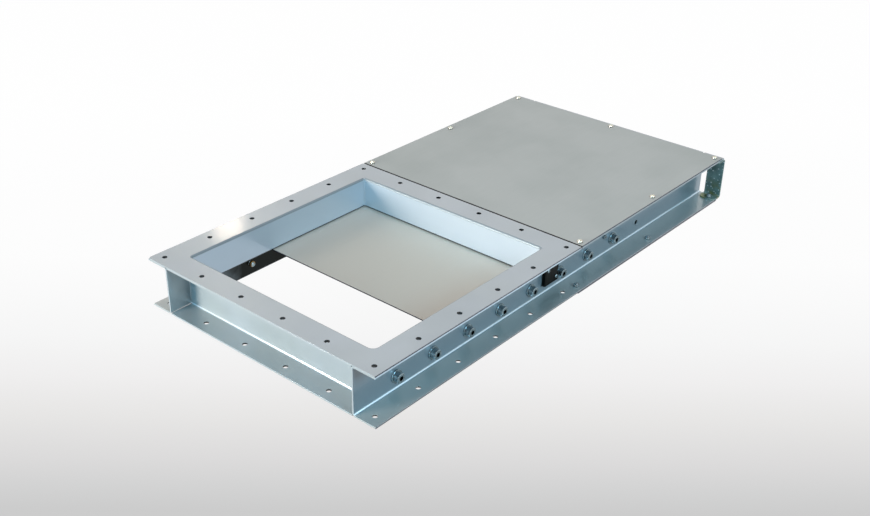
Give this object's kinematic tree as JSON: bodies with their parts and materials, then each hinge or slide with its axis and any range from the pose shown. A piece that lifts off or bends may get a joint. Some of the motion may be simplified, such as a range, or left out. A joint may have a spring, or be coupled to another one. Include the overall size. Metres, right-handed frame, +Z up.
{
  "type": "slide valve",
  "caption": "Flat slide valve for a square duct: flanged folded-steel frame, roller-borne blade and a closed housing behind the opening.",
  "frame": {"origin": "centre of the duct opening, in the plane of the lower flange's underside", "axes": "+X from the duct opening to the housing, +Y to the left, +Z up through the duct"},
  "size_m": [1.075, 0.544, 0.1023],
  "materials": {
    "frame_steel": "smooth silver-grey coat, half gloss",
    "sheet_steel": "smooth zinc-coated sheet, satin",
    "bracket_steel": "dull greenish zinc coat with pale specks",
    "fastener_steel": "zinc plated",
    "bronze": "turned, satin",
    "black_plastic": "moulded, half gloss"
  },
  "bodies": {
    "frame": {"inlet_ring": "frame_steel", "side_channel_right": "frame_steel", "side_channel_left": "frame_steel", "front_channel": "frame_steel", "rear_channel": "frame_steel", "rear_lower_crossbar": "frame_steel", "housing_top_cover": "sheet_steel", "housing_bottom_cover": "sheet_steel", "end_bracket_right": "bracket_steel", "end_bracket_left": "bracket_steel", "top_cover_screws": "fastener_steel", "top_cover_nuts": "fastener_steel", "bottom_cover_screws": "fastener_steel", "bottom_cover_nuts": "fastener_steel", "roller_screws_right": "fastener_steel", "roller_screws_left": "fastener_steel", "roller_washers_right": "fastener_steel", "roller_washers_left": "fastener_steel", "roller_clips_right": "fastener_steel", "roller_clips_left": "fastener_steel", "switch_body": "black_plastic", "switch_plate": "fastener_steel", "switch_screws": "fastener_steel", "web_screw": "fastener_steel"},
    "blade": {"blade": "sheet_steel", "blade_lug": "fastener_steel", "lug_rivets": "fastener_steel"},
    "roller_right_1": {"roller_right_1": "bronze"},
    "roller_right_2": {"roller_right_2": "bronze"},
    "roller_right_3": {"roller_right_3": "bronze"},
    "roller_right_4": {"roller_right_4": "bronze"},
    "roller_right_5": {"roller_right_5": "bronze"},
    "roller_right_6": {"roller_right_6": "bronze"},
    "roller_right_7": {"roller_right_7": "bronze"},
    "roller_right_8": {"roller_right_8": "bronze"},
    "roller_left_1": {"roller_left_1": "bronze"},
    "roller_left_2": {"roller_left_2": "bronze"},
    "roller_left_3": {"roller_left_3": "bronze"},
    "roller_left_4": {"roller_left_4": "bronze"},
    "roller_left_5": {"roller_left_5": "bronze"},
    "roller_left_6": {"roller_left_6": "bronze"},
    "roller_left_7": {"roller_left_7": "bronze"},
    "roller_left_8": {"roller_left_8": "bronze"}
  },
  "joints": [
    {"name": "blade_slide", "type": "slide", "parent": "frame", "child": "blade", "axis": [1, 0, 0], "range_m": [-0.1885, 0.249]},
    {"name": "roller_right_1_spin", "type": "hinge", "parent": "frame", "child": "roller_right_1", "pos_m": [-0.174, -0.2172, 0.0265], "axis": [0, 1, 0], "range_deg": [-2040, 2680]},
    {"name": "roller_right_2_spin", "type": "hinge", "parent": "frame", "child": "roller_right_2", "pos_m": [-0.0848, -0.2172, 0.0265], "axis": [0, 1, 0], "range_deg": [-2040, 2680]},
    {"name": "roller_right_3_spin", "type": "hinge", "parent": "frame", "child": "roller_right_3", "pos_m": [0.0044, -0.2172, 0.0265], "axis": [0, 1, 0], "range_deg": [-2040, 2680]},
    {"name": "roller_right_4_spin", "type": "hinge", "parent": "frame", "child": "roller_right_4", "pos_m": [0.0936, -0.2172, 0.0265], "axis": [0, 1, 0], "range_deg": [-2040, 2680]},
    {"name": "roller_right_5_spin", "type": "hinge", "parent": "frame", "child": "roller_right_5", "pos_m": [0.1828, -0.2172, 0.0265], "axis": [0, 1, 0], "range_deg": [-2040, 2680]},
    {"name": "roller_right_6_spin", "type": "hinge", "parent": "frame", "child": "roller_right_6", "pos_m": [0.272, -0.2172, 0.0265], "axis": [0, 1, 0], "range_deg": [-2040, 2680]},
    {"name": "roller_right_7_spin", "type": "hinge", "parent": "frame", "child": "roller_right_7", "pos_m": [0.3612, -0.2172, 0.0265], "axis": [0, 1, 0], "range_deg": [-2040, 2680]},
    {"name": "roller_right_8_spin", "type": "hinge", "parent": "frame", "child": "roller_right_8", "pos_m": [0.4504, -0.2172, 0.0265], "axis": [0, 1, 0], "range_deg": [-2040, 2680]},
    {"name": "roller_left_1_spin", "type": "hinge", "parent": "frame", "child": "roller_left_1", "pos_m": [-0.174, 0.2172, 0.0265], "axis": [0, 1, 0], "range_deg": [-2040, 2680]},
    {"name": "roller_left_2_spin", "type": "hinge", "parent": "frame", "child": "roller_left_2", "pos_m": [-0.0848, 0.2172, 0.0265], "axis": [0, 1, 0], "range_deg": [-2040, 2680]},
    {"name": "roller_left_3_spin", "type": "hinge", "parent": "frame", "child": "roller_left_3", "pos_m": [0.0044, 0.2172, 0.0265], "axis": [0, 1, 0], "range_deg": [-2040, 2680]},
    {"name": "roller_left_4_spin", "type": "hinge", "parent": "frame", "child": "roller_left_4", "pos_m": [0.0936, 0.2172, 0.0265], "axis": [0, 1, 0], "range_deg": [-2040, 2680]},
    {"name": "roller_left_5_spin", "type": "hinge", "parent": "frame", "child": "roller_left_5", "pos_m": [0.1828, 0.2172, 0.0265], "axis": [0, 1, 0], "range_deg": [-2040, 2680]},
    {"name": "roller_left_6_spin", "type": "hinge", "parent": "frame", "child": "roller_left_6", "pos_m": [0.272, 0.2172, 0.0265], "axis": [0, 1, 0], "range_deg": [-2040, 2680]},
    {"name": "roller_left_7_spin", "type": "hinge", "parent": "frame", "child": "roller_left_7", "pos_m": [0.3612, 0.2172, 0.0265], "axis": [0, 1, 0], "range_deg": [-2040, 2680]},
    {"name": "roller_left_8_spin", "type": "hinge", "parent": "frame", "child": "roller_left_8", "pos_m": [0.4504, 0.2172, 0.0265], "axis": [0, 1, 0], "range_deg": [-2040, 2680]}
  ],
  "couplings": [
    {"joint": "roller_right_1_spin", "follows": "blade_slide", "rad_per_m": 181.82},
    {"joint": "roller_right_2_spin", "follows": "blade_slide", "rad_per_m": 181.82},
    {"joint": "roller_right_3_spin", "follows": "blade_slide", "rad_per_m": 181.82},
    {"joint": "roller_right_4_spin", "follows": "blade_slide", "rad_per_m": 181.82},
    {"joint": "roller_right_5_spin", "follows": "blade_slide", "rad_per_m": 181.82},
    {"joint": "roller_right_6_spin", "follows": "blade_slide", "rad_per_m": 181.82},
    {"joint": "roller_right_7_spin", "follows": "blade_slide", "rad_per_m": 181.82},
    {"joint": "roller_right_8_spin", "follows": "blade_slide", "rad_per_m": 181.82},
    {"joint": "roller_left_1_spin", "follows": "blade_slide", "rad_per_m": 181.82},
    {"joint": "roller_left_2_spin", "follows": "blade_slide", "rad_per_m": 181.82},
    {"joint": "roller_left_3_spin", "follows": "blade_slide", "rad_per_m": 181.82},
    {"joint": "roller_left_4_spin", "follows": "blade_slide", "rad_per_m": 181.82},
    {"joint": "roller_left_5_spin", "follows": "blade_slide", "rad_per_m": 181.82},
    {"joint": "roller_left_6_spin", "follows": "blade_slide", "rad_per_m": 181.82},
    {"joint": "roller_left_7_spin", "follows": "blade_slide", "rad_per_m": 181.82},
    {"joint": "roller_left_8_spin", "follows": "blade_slide", "rad_per_m": 181.82}
  ]
}
